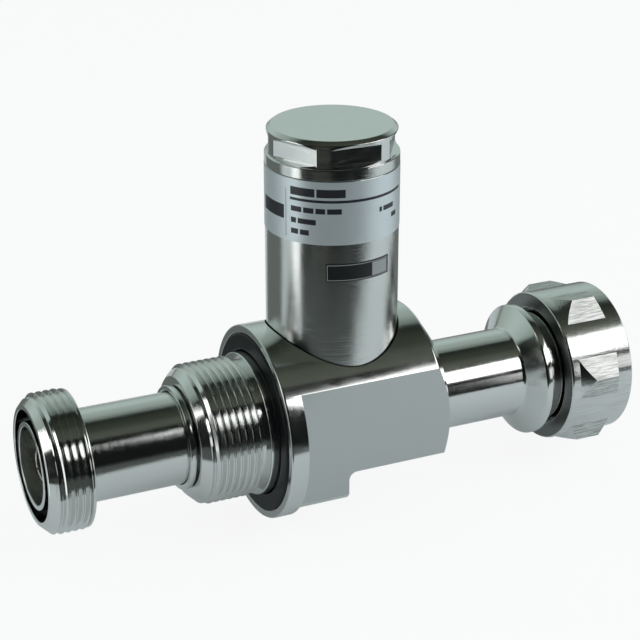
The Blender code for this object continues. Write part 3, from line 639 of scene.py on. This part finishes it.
def make_contact():
    """The slotted spring contact, with its bore for a mating pin."""
    tip = CONTACT[0].x
    rear = CONTACT[1].x
    stud_end = rear - STUD_DEPTH
    outline = [
        (tip + CONTACT_BORE_DEPTH, 0), (tip + CONTACT_BORE_DEPTH, CONTACT_BORE),
        (tip, CONTACT_BORE, 0.2), (tip, LINE_ROD, 0.3), (rear, LINE_ROD), (rear, STUD_HOLE),
        (stud_end, STUD_HOLE), (stud_end, 0),
    ]
    contact = turned(outline, LINE, SMALL_ROUND)
    half = CONTACT_SLOT / 2
    slots = []
    for i in range(2):
        slot = box_form((tip - 1, -LINE_ROD - 1, -half),
                        (tip + CONTACT_BORE_DEPTH - 1, LINE_ROD + 1, half))
        turn = Matrix.Rotation(math.radians(45 + 90 * i), 3, "X")
        bmesh.ops.rotate(slot, cent=(0, 0, 0), matrix=turn, verts=slot.verts)
        slots.append(("DIFFERENCE", slot))
    piece("socket_contact_spring", carved(contact, *slots), "arrestor", "silver_contact", SILVER,
          "socket_centre_contact")


# The plug end

PLUG_TUBE = 9.75
COLLAR_FOOT = 60.1
COLLAR_TOP = 63.1
COLLAR_RADIUS = 14.45
NECK_START = 64.5
NECK_RADIUS = 12.4
RING_GROOVE = (70.5, 72.1, 11.2)
SHOULDER_FACE = 73.4
MATING_PLANE = 74.5
SLEEVE = (9.13, 11.3)
PLUG_BORE_START = PLUG[0].x + 5.95
PLUG_BEAD = 68.8
PIN_STEP = 1.3


def make_plug():
    start = PLUG[0].x
    tube_start = BODY[1].x + SEAT_GAP
    sleeve_face = PLUG[1].x
    low, high, groove = RING_GROOVE
    outline = [
        (start, PLUG_SPIGOT), (tube_start, PLUG_SPIGOT), (tube_start, PLUG_TUBE),
        (COLLAR_FOOT, PLUG_TUBE, 0.5), (COLLAR_TOP, COLLAR_RADIUS, 0.3),
        (NECK_START, COLLAR_RADIUS, 0.2), (NECK_START, NECK_RADIUS),
        (low, NECK_RADIUS), (low, groove), (high, groove), (high, NECK_RADIUS),
        (SHOULDER_FACE, NECK_RADIUS, 0.1), (SHOULDER_FACE, SLEEVE[1]),
        (sleeve_face, SLEEVE[1], 0.3), (sleeve_face, SLEEVE[0], 0.2),
        (MATING_PLANE, SLEEVE[0]), (MATING_PLANE, LINE_BORE, 0.1),
        (PLUG_BORE_START, LINE_BORE), (PLUG_BORE_START, CORE_BORE), (start, CORE_BORE),
    ]
    piece("plug_turned", turned(outline), "arrestor", "nickel_bright", NICKEL_LINE, "plug_shell")

    bead = ring(PLUG_BEAD, PLUG_BEAD + BEAD_LENGTH, LINE_ROD + FIT, LINE_BORE - FIT, EDGE)
    piece("plug_bead", bead, "arrestor", "white_insulator", INSULATOR, "plug_insulator")

    rear, tip = PIN[0].x, PIN[1].x
    base = MATING_PLANE - PIN_STEP
    outline = [
        (rear + STUD_DEPTH, 0), (rear + STUD_DEPTH, STUD_HOLE), (rear, STUD_HOLE), (rear, LINE_ROD),
        (base, LINE_ROD, 0.3), (base, PIN_RADIUS), (tip, PIN_RADIUS, 1.2), (tip, 0),
    ]
    piece("plug_pin_turned", turned(outline, LINE, SMALL_ROUND), "arrestor", "silver_contact",
          SILVER, "plug_centre_pin")


def make_rings_and_seals():
    low, high = span("socket_lock_ring")
    form = ring(low.x, high.x, SOCKET_TUBE + FIT, high.y, 0.3)
    piece("socket_lock_ring_turned", form, "arrestor", "nickel_bright", NICKEL_LINE,
          "socket_lock_ring")
    low, high = span("plug_lock_ring")
    form = ring(low.x, high.x, PLUG_TUBE + FIT, high.y, 0.3)
    piece("plug_lock_ring_turned", form, "arrestor", "nickel_bright", NICKEL_LINE,
          "plug_lock_ring")
    low, high = span("panel_seal")
    form = ring(low.x, high.x, LOCATING_RADIUS + FIT, high.y, 0.6)
    piece("panel_seal_moulded", form, "arrestor", "black_rubber", RUBBER, "panel_seal")
    low, high = span("plug_gasket")
    form = ring(low.x, high.x, SLEEVE[1] + FIT, high.y, 0.35)
    piece("plug_gasket_moulded", form, "arrestor", "black_rubber", RUBBER, "plug_gasket")
    low, high = span("nut_retaining_ring")
    gap = math.degrees(1.5 / high.z)
    outline = [(low.x, 11.35, 0.1), (low.x, high.z, 0.1), (high.x, high.z, 0.1),
               (high.x, 11.35, 0.1)]
    form = turned(outline, LINE, SMALL_ROUND, (180 + gap, 540 - gap))
    piece("retaining_ring_sprung", form, "arrestor", "spring_steel", STEEL, "nut_retaining_ring")


# The coupling nut

NUT_REAR = NUT[0].x
NUT_FRONT = NUT[1].x
NUT_RADIUS = 16.5
NUT_HOLE = 13.0
NUT_THREAD_ROOT = 14.6
NUT_WALL_FRONT = NUT_REAR + 2.3
NUT_FLATS = 32.0
NUT_LEAD = 0.7
HEX_MARGIN = 0.3
HEX_EDGE = 0.14
HEX_SINK = 0.06
HEX_START = NUT_REAR + 2.1
HEX_END = HEX_START + 9.5
HEX_REAR_SLOPE = math.radians(35)
HEX_FRONT_SLOPE = math.radians(60)
NUT_TURN = math.radians(20.7)


def make_nut():
    outline = [
        (NUT_REAR, NUT_RADIUS, 0.55), (NUT_FRONT, NUT_RADIUS, 0.3),
        (NUT_FRONT, NUT_THREAD_ROOT + NUT_LEAD, 0.1), (NUT_FRONT - NUT_LEAD, NUT_THREAD_ROOT),
        (NUT_WALL_FRONT, NUT_THREAD_ROOT), (NUT_WALL_FRONT, NUT_HOLE),
        (NUT_REAR, NUT_HOLE, 0.4),
    ]
    corner = NUT_FLATS / 2 / math.cos(math.pi / 6) + HEX_MARGIN
    inside = (NUT_RADIUS + NUT_THREAD_ROOT) / 2
    rear_run = 1 / math.tan(HEX_REAR_SLOPE)
    front_run = 1 / math.tan(HEX_FRONT_SLOPE)
    band = turned([
        (HEX_START - (NUT_RADIUS - inside) * rear_run, inside),
        (HEX_START + (corner - NUT_RADIUS) * rear_run, corner),
        (HEX_END - (corner - NUT_RADIUS) * front_run, corner),
        (HEX_END + (NUT_RADIUS - inside) * front_run, inside),
    ])
    far = 10
    corners = carved(band, ("INTERSECT", hexagon(LINE, NUT_FLATS, NUT_REAR - far, NUT_FRONT + far,
                                                 NUT_TURN)))
    form = carved(turned(outline), ("UNION", corners))
    soften_edges(form, HEX_EDGE, on_hexagon, least=9)
    mark_hexagon_flats(form)
    # The nut's rear face takes the darkened nickel, painted shade for the face turned back toward the
    # body
    for face in form.faces:
        if face.normal.x < -0.9 and face.calc_center_median().x < HEX_START:
            face.material_index = 2

    def limit(along):
        return NUT_THREAD_ROOT - TOOTH_DEPTH * min(1, max(0.0, NUT_FRONT - 0.3 - along)) + 0.03

    ridge = threaded(LINE, NUT_WALL_FRONT + 1.6, NUT_FRONT - 0.35, NUT_THREAD_ROOT,
                     NUT_THREAD_ROOT - TOOTH_DEPTH, PITCH, limit, 0.0, True)
    piece("nut_milled", joined(form, ridge), "nut", "nickel_bright",
          [NICKEL_NUT, NICKEL_FACET, NICKEL_REAR_SHADE], "coupling_nut")


NICKEL_FACET = milled_metal("brushed_nickel_facet", NICKEL, 0.40, 0, 0.30, 0.0300, 0.50)


def on_hexagon(point):
    return point.yz.length > NUT_RADIUS - HEX_SINK and HEX_START - 1 < point.x < HEX_END + 1


def mark_hexagon_flats(form):
    for face in form.faces:
        centre = face.calc_center_median()
        level = abs(face.normal.x) < LEVEL and face.calc_area() > LEAST_FLAT
        if level and HEX_START < centre.x < HEX_END:
            if abs(face.normal.dot(centre) - NUT_FLATS / 2) < TOUCH:
                face.material_index = 1


# The tower

def make_tower():
    low, high = TOWER[0].z, TOWER[1].z
    mouth_floor = high - TOWER_MOUTH_DEPTH
    outline = [(low, TOWER_BORE), (low, TOWER_RADIUS, 0.2), (high, TOWER_RADIUS, 0.2),
               (high, TOWER_MOUTH), (mouth_floor, TOWER_MOUTH), (mouth_floor, TOWER_BORE)]
    piece("tower_turned", turned(outline, STUB), "arrestor", "nickel_satin", NICKEL_TOWER,
          "stub_tube")
    make_cap()
    make_label()
    make_plate()


TOWER_BORE = 10.4
TOWER_MOUTH = 11.3
TOWER_MOUTH_DEPTH = 7.8
CAP_SPIGOT = 11.15
CAP_BORE = 8.5
CAP_ROOF = 5.6
CAP_GROOVE = 9.55
CAP_GROOVE_DROP = 1.9
CAP_SKIRT = 0.2
CAP_EDGE = 0.12
CAP_LEDGE_HEIGHT = 2.1
CAP_RIM = 13.3
CAP_FLATS = 24.4
CAP_FLATS_HEIGHT = 3.8
CAP_TURN = math.radians(-2)
CAP_RAMP = 0.8
CAP_FOOT_RAMP = 0.6
CAP_BREAK = 0.7
CAP_TOP_RADIUS = 12.4


def make_cap():
    foot = CAP[0].z
    top = CAP[1].z
    tube_top = TOWER[1].z
    base = tube_top + SEAT_GAP
    ledge = base + CAP_LEDGE_HEIGHT
    skirt = base - CAP_SKIRT
    groove = base - CAP_GROOVE_DROP
    roof = top - CAP_ROOF
    outline = [
        (roof, 0), (roof, CAP_BORE), (foot, CAP_BORE), (foot, CAP_SPIGOT), (groove, CAP_SPIGOT),
        (groove, CAP_GROOVE), (tube_top, CAP_GROOVE), (tube_top, CAP_SPIGOT), (skirt, CAP_SPIGOT),
        (skirt, CAP[1].y, 0.1), (ledge, CAP[1].y, 0.3), (ledge, CAP_RIM),
        (top - CAP_BREAK, CAP_RIM, 0.1), (top, CAP_TOP_RADIUS, 0.15), (top, 0),
    ]
    cap = turned(outline, STUB)
    cutters = []
    shoulder = ledge + CAP_FLATS_HEIGHT
    for i in range(6):
        cutter = box_form((CAP_FLATS / 2, -CAP_RIM, ledge), (2 * CAP_RIM, CAP_RIM, shoulder))
        for vert in cutter.verts:
            run = vert.co.x - CAP_FLATS / 2
            if vert.co.z > ledge + 1:
                vert.co.z += run * CAP_RAMP
            else:
                vert.co.z += CAP_FOOT_RAMP * (CAP_RIM - vert.co.x)
        turn = Matrix.Rotation(CAP_TURN + math.radians(30 + 60 * i), 3, "Z")
        bmesh.ops.rotate(cutter, cent=(0, 0, 0), matrix=turn, verts=cutter.verts)
        bmesh.ops.translate(cutter, vec=STUB.centre, verts=cutter.verts)
        cutters.append(("DIFFERENCE", cutter))
    form = carved(cap, *cutters)

    def at_flat(point):
        beside = radius_at(STUB, point) > CAP_FLATS / 2 - TOUCH
        return beside and ledge - TOUCH < point.z < shoulder + TOUCH

    soften_edges(form, CAP_EDGE, at_flat)
    for face in form.faces:
        centre = face.calc_center_median() - STUB.centre
        on_flat = abs(face.normal.dot(centre) - CAP_FLATS / 2) < TOUCH
        if abs(face.normal.z) < LEVEL and face.calc_area() > LEAST_FLAT and on_flat:
            face.material_index = 1
        elif abs(face.normal.z) < 0.3 and centre.z > base:
            face.material_index = 2
    piece("cap_milled", form, "arrestor", "nickel_satin",
          [NICKEL_TOWER_CAP, NICKEL_CAP_FACET, NICKEL_TOWER], "stub_cap")


NICKEL_TOWER_CAP = turned_metal("satin_nickel_cap", NICKEL, 0.15, STUB, 0.20, 0.0020, 0.03)
NICKEL_CAP_FACET = milled_metal("milled_nickel_cap", NICKEL, 0.16, 0, 0.30, 0.0060)

LABEL_ANGLES = (105, 435)
PLATE_ANGLES = (-120, -60)
FILM = 0.08
FILM_LIFT = 0.02
PRINT_LIFT = 0.012
PRINT_SINK = 0.01


def wrap(low, high, angles, lift=FILM_LIFT, thick=FILM):
    """A thin film round the tower, between two heights and two angles from +X."""
    inner = TOWER_RADIUS + lift
    outline = [(low, inner), (low, inner + thick), (high, inner + thick), (high, inner)]
    steps = max(1, round((angles[1] - angles[0]) / 360 * ROUND))
    return turned(outline, STUB, steps, angles)


def printed(low, high, angles):
    """A field of print or paint, sunk a little into the film below it."""
    return wrap(low, high, angles, FILM_LIFT + FILM - PRINT_SINK, PRINT_SINK + PRINT_LIFT)


# Bars and fields in place of the print. The rule is measured down from the label's top edge, the
# mark up from its lower edge, and the divider leaves these margins at the top and the foot
LABEL_RULE = (3.75, 4.30, (208, 320))
LABEL_MARK = (4.4, 7.3, (169, 201.4))
LABEL_DIVIDER = (2.2, 0.9, (203.5, 203.9))
# Each row: how far below the top edge, how tall, the angle where it starts and its bars' widths
PRINT_SPACE = 1.7
PRINT_ROWS = (
    (1.5, 1.7, 208.5, (22, 24)),
    (5.5, 1.1, 209.0, (10, 9, 8, 12)),
    (7.9, 1.1, 209.0, (5, 16)),
    (10.2, 1.1, 209.0, (7, 8)),
    (6.3, 1.0, 288.0, (3, 14)),
    (8.4, 1.0, 304.0, (8,)),
)


def make_label():
    low, high = LABEL[0].z, LABEL[1].z
    piece("label_wrap", wrap(low, high, LABEL_ANGLES), "arrestor", "label_film", LABEL_FILM,
          "rating_label")
    rule_top, rule_foot, rule_angles = LABEL_RULE
    mark_foot, mark_top, mark_angles = LABEL_MARK
    divider_top, divider_foot, divider_angles = LABEL_DIVIDER
    bars = [printed(high - rule_foot, high - rule_top, rule_angles),
            printed(low + mark_foot, low + mark_top, mark_angles),
            printed(low + divider_foot, high - divider_top, divider_angles)]
    for below, height, start, runs in PRINT_ROWS:
        top = high - below
        for width in runs:
            bars.append(printed(top - height, top, (start, start + width)))
            start += width + PRINT_SPACE
    piece("label_print", joined(*bars), "arrestor", "plate_film", PRINT)


def make_plate():
    low, high = PLATE[0].z, PLATE[1].z
    piece("plate_wrap", wrap(low, high, PLATE_ANGLES), "arrestor", "plate_film", PLATE_FILM,
          "type_plate")
    first, last = PLATE_ANGLES[0] + PLATE_MARGIN, PLATE_ANGLES[1] - PLATE_MARGIN
    inset = PLATE_INSET
    piece("plate_field", printed(low + 2 * inset, high - 2 * inset, PLATE_FIELD), "arrestor",
          "label_film", PLATE_GREY)
    foot_line = low + inset + PLATE_LINE
    top_line = high - inset - PLATE_LINE
    lines = [printed(low + inset, foot_line, (first, last)),
             printed(top_line, high - inset, (first, last))]
    for angle in (first, last - PLATE_SIDE_LINE):
        lines.append(printed(foot_line, top_line, (angle, angle + PLATE_SIDE_LINE)))
    piece("plate_border", joined(*lines), "arrestor", "label_film", CLEAR_EDGE)


PLATE_INSET = 0.25
PLATE_LINE = 0.12
PLATE_MARGIN = 1.0
PLATE_SIDE_LINE = 0.5
PLATE_FIELD = (-79.0, -62.5)
PLATE_GREY = plain_surface("plate_grey", (0.30, 0.33, 0.34), 0.40, 1.0, 0.002)


def dress_inner_nodes():
    """The pieces sealed inside keep their CAD shapes, with the finish of their slot."""
    inner = {"line_conductor": SILVER, "stub_conductor": SILVER, "stub_short": SILVER,
             "stub_screw": STEEL, "cap_seal": RUBBER, "stub_base_seal": RUBBER}
    for name, material in inner.items():
        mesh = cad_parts[name].data
        mesh.materials.clear()
        mesh.materials.append(material)


# The studio

FLOOR_GAP = 0.0002
FLOOR_REACH = 6.0
CAMERA_PLACE = (-0.1341, -0.3257, 0.1744)
CAMERA_AZIMUTH = -24.675
CAMERA_ELEVATION = 23.2
CAMERA_LENS = 105.33
CAMERA_SHIFT = -0.0028


def make_camera():
    data = bpy.data.cameras.new("Camera")
    data.lens = CAMERA_LENS
    data.sensor_width = 36
    data.shift_y = CAMERA_SHIFT
    camera = bpy.data.objects.new("Camera", data)
    camera.location = CAMERA_PLACE
    camera.rotation_euler = (math.radians(90 - CAMERA_ELEVATION), 0, math.radians(CAMERA_AZIMUTH))
    bpy.context.scene.collection.objects.link(camera)
    bpy.context.scene.camera = camera


def direction(azimuth, elevation):
    """A unit vector: azimuth 0 points along -Y and 90 along +X, in degrees."""
    turn, rise = math.radians(azimuth), math.radians(elevation)
    return Vector((math.sin(turn) * math.cos(rise), -math.cos(turn) * math.cos(rise),
                   math.sin(rise)))


def make_lamp(name, azimuth, elevation, distance, width, height, glow):
    """A soft box facing the object, whose face has the given brightness."""
    data = bpy.data.lights.new(name, "AREA")
    data.shape = "RECTANGLE"
    data.size = width
    data.size_y = height
    data.energy = glow * math.pi * width * height
    lamp = bpy.data.objects.new(name, data)
    toward = direction(azimuth, elevation)
    lamp.location = toward * distance
    lamp.rotation_euler = toward.to_track_quat("Z", "Y").to_euler()
    lamp.visible_camera = False
    bpy.context.scene.collection.objects.link(lamp)


def stage_sheet(name, corners, material, flag=False):
    """A flat sheet of the studio, from four corners. A flag is seen in reflections alone."""
    form = bmesh.new()
    form.faces.new([form.verts.new(corner) for corner in corners])
    obj = loose_object(name, form)
    obj.data.materials.append(material)
    if flag:
        obj.visible_camera = False
        obj.visible_diffuse = False
        obj.visible_shadow = False
    return obj


def floor_material():
    made, tree, shader = shader_of("pale_floor", FLOOR_COLOUR, 0.8, 0.0)
    shader.inputs["Specular IOR Level"].default_value = 0.0
    path = node(tree, "ShaderNodeLightPath")
    white = node(tree, "ShaderNodeEmission", (), Color=(1, 1, 1, 1), Strength=1.0)
    mirrored = maths(tree, "MAXIMUM", path.outputs["Is Glossy Ray"],
                     path.outputs["Is Transmission Ray"])
    share = maths(tree, "MAXIMUM", maths(tree, "MULTIPLY", mirrored, FLOOR_MIRRORED),
                  maths(tree, "MULTIPLY", path.outputs["Is Camera Ray"], FLOOR_WHITE))
    mixed = node(tree, "ShaderNodeMixShader", (), i0=share, i1=shader.outputs[0],
                 i2=white.outputs[0])
    tree.links.new(mixed.outputs[0], tree.nodes["Material Output"].inputs["Surface"])
    return made


FLOOR_COLOUR = (0.80, 0.90, 0.92)
FLOOR_WHITE = 0.90
FLOOR_MIRRORED = 0.10


def card_material(name, colour):
    made = bpy.data.materials.new(name)
    made.use_nodes = True
    tree = made.node_tree
    tree.nodes.remove(tree.nodes["Principled BSDF"])
    glow = node(tree, "ShaderNodeEmission", (), Color=(*colour, 1), Strength=1.0)
    tree.links.new(glow.outputs[0], tree.nodes["Material Output"].inputs["Surface"])
    return made


def graded_material(name, axis, stops):
    """A card whose colour runs through the stops, each a place along the axis and a colour."""
    made = card_material(name, (0, 0, 0))
    tree = made.node_tree
    glow = next(n for n in tree.nodes if n.type == "EMISSION")
    place = node(tree, "ShaderNodeSeparateXYZ", (), i0=object_point(tree)).outputs[axis]
    low, high = stops[0][0], stops[-1][0]
    ramp = tree.nodes.new("ShaderNodeValToRGB")
    ramp.color_ramp.interpolation = "EASE"
    for i, (where, colour) in enumerate(stops):
        share = (where - low) / (high - low)
        elements = ramp.color_ramp.elements
        stop = elements[i] if i in (0, 1) else elements.new(share)
        stop.position = share
        stop.color = (*colour, 1)
    tree.links.new(ranged(tree, place, low, high, 0.0, 1.0), ramp.inputs["Fac"])
    tree.links.new(ramp.outputs["Color"], glow.inputs["Color"])
    return made


def make_studio():
    floor = CAD_LOW.z - FLOOR_GAP
    reach = FLOOR_REACH
    corners = [(-reach, -reach, floor), (reach, -reach, floor), (reach, reach, floor),
               (-reach, reach, floor)]
    stage_sheet("floor", corners, floor_material())

    # Toward the camera the table ends and the room is dark
    toward = direction(CAMERA_AZIMUTH, 0)
    aside = Vector((-toward.y, toward.x, 0))
    near, far = toward * TABLE_EDGE, toward * reach
    lift = Vector((0, 0, floor + FLOOR_GAP / 2))
    left = near - aside * DARK_LEFT
    left_far = left + direction(DARK_LEFT_AZIMUTH, 0) * reach
    stage_sheet("dark_room", [left + lift, near + aside * reach + lift,
                              far + aside * reach + lift, left_far + lift],
                card_material("dark_room", DARK), True)

    half = BACKDROP_HALF
    stage_sheet("overhead", [(-half, OVERHEAD_FRONT, OVERHEAD_HEIGHT),
                             (half, OVERHEAD_FRONT, OVERHEAD_HEIGHT),
                             (half, OVERHEAD_BACK, OVERHEAD_HEIGHT),
                             (-half, OVERHEAD_BACK, OVERHEAD_HEIGHT)],
                graded_material("overhead", 1, OVERHEAD_STOPS), True)
    stage_sheet("backdrop", [(-half, OVERHEAD_BACK, OVERHEAD_HEIGHT),
                             (half, OVERHEAD_BACK, OVERHEAD_HEIGHT),
                             (half, BACKDROP_REACH, floor), (-half, BACKDROP_REACH, floor)],
                graded_material("backdrop", 2, BACKDROP_STOPS), True)

    front = -BACKDROP_REACH
    dark = card_material("black_cloth", DARK)
    stage_sheet("front_cloth", [(-half, OVERHEAD_FRONT, OVERHEAD_HEIGHT),
                                (half, OVERHEAD_FRONT, OVERHEAD_HEIGHT),
                                (half, front, floor), (-half, front, floor)], dark, True)
    for name, side in (("left_cloth", -half), ("right_cloth", half)):
        stage_sheet(name, [(side, front, floor), (side, BACKDROP_REACH, floor),
                           (side, BACKDROP_REACH, OVERHEAD_HEIGHT),
                           (side, front, OVERHEAD_HEIGHT)], dark, True)

    # Cards on the table, seen mirrored in the tower
    above = Vector((0, 0, floor + FLOOR_GAP))
    for name, low, high, near, far, colour in TABLE_CARDS:
        arc = [STUB.centre * MM + direction(azimuth, 0) * distance + above
               for azimuth, distance in ((low, near), (low, far), (high, far), (high, near))]
        stage_sheet(name, arc, card_material(name, colour), True)

    for lamp in LAMPS:
        make_lamp(*lamp)

    world = bpy.data.worlds.new("White studio")
    bpy.context.scene.world = world
    world.use_nodes = True
    tree = world.node_tree
    path = node(tree, "ShaderNodeLightPath")
    mirrored = maths(tree, "MAXIMUM", path.outputs["Is Glossy Ray"],
                     path.outputs["Is Transmission Ray"])
    shown = maths(tree, "MAXIMUM", path.outputs["Is Camera Ray"], mirrored)
    seen = node(tree, "ShaderNodeMix", {"data_type": "RGBA"}, i0=shown, i6=(*AMBIENT, 1),
                i7=(1, 1, 1, 1)).outputs[2]
    back = tree.nodes["Background"]
    tree.links.new(seen, back.inputs["Color"])
    back.inputs["Strength"].default_value = 1.0
    bpy.context.scene.view_settings.view_transform = "Standard"


# Name, azimuth, elevation, distance, width, height and the brightness of its face
LAMPS = (("right_softbox", 53, 34, 0.80, 0.68, 0.30, 2.5),
         ("low_softbox", 54, 5, 0.80, 0.66, 0.27, 1.0),
         ("left_softbox", -97, 11, 0.62, 0.25, 0.34, 2.4))
TABLE_EDGE = 0.082
DARK_LEFT = 0.125
DARK_LEFT_AZIMUTH = -77
# Name, azimuths from the tower, nearest and furthest reach, and colour
TABLE_CARDS = (("left_white_card", -94, -79, 0.100, 0.9, (1.25, 1.30, 1.28)),
               ("left_grey_card", -170, -117, 0.080, 0.9, (0.14, 0.16, 0.15)),
               ("front_grey_card", -75, 12, 0.090, 0.202, (0.085, 0.096, 0.092)),
               ("front_far_card", -58, -27, 0.203, 0.235, (0.22, 0.215, 0.19)),
               ("right_grey_card", 100, 150, 0.100, 0.9, (0.16, 0.18, 0.17)))
DARK = (0.008, 0.010, 0.009)
AMBIENT = (0.46, 0.46, 0.46)
OVERHEAD_HEIGHT = 0.9
OVERHEAD_FRONT = -0.55
OVERHEAD_BACK = 0.30
OVERHEAD_STOPS = ((-0.55, (0.10, 0.11, 0.09)), (-0.30, (0.085, 0.095, 0.075)),
                  (-0.08, (0.045, 0.052, 0.040)), (0.30, (0.020, 0.024, 0.020)))
BACKDROP_HALF = 1.5
BACKDROP_REACH = 1.3
BACKDROP_STOPS = ((-0.02, (0.10, 0.11, 0.10)), (0.10, (0.40, 0.47, 0.44)),
                  (0.42, (0.50, 0.60, 0.57)), (0.68, (0.36, 0.43, 0.40)),
                  (0.84, (0.20, 0.24, 0.22)), (0.90, (0.02, 0.024, 0.02)))


make_body()
make_socket()
make_plug()
make_rings_and_seals()
make_nut()
make_tower()
dress_inner_nodes()
make_camera()
make_studio()
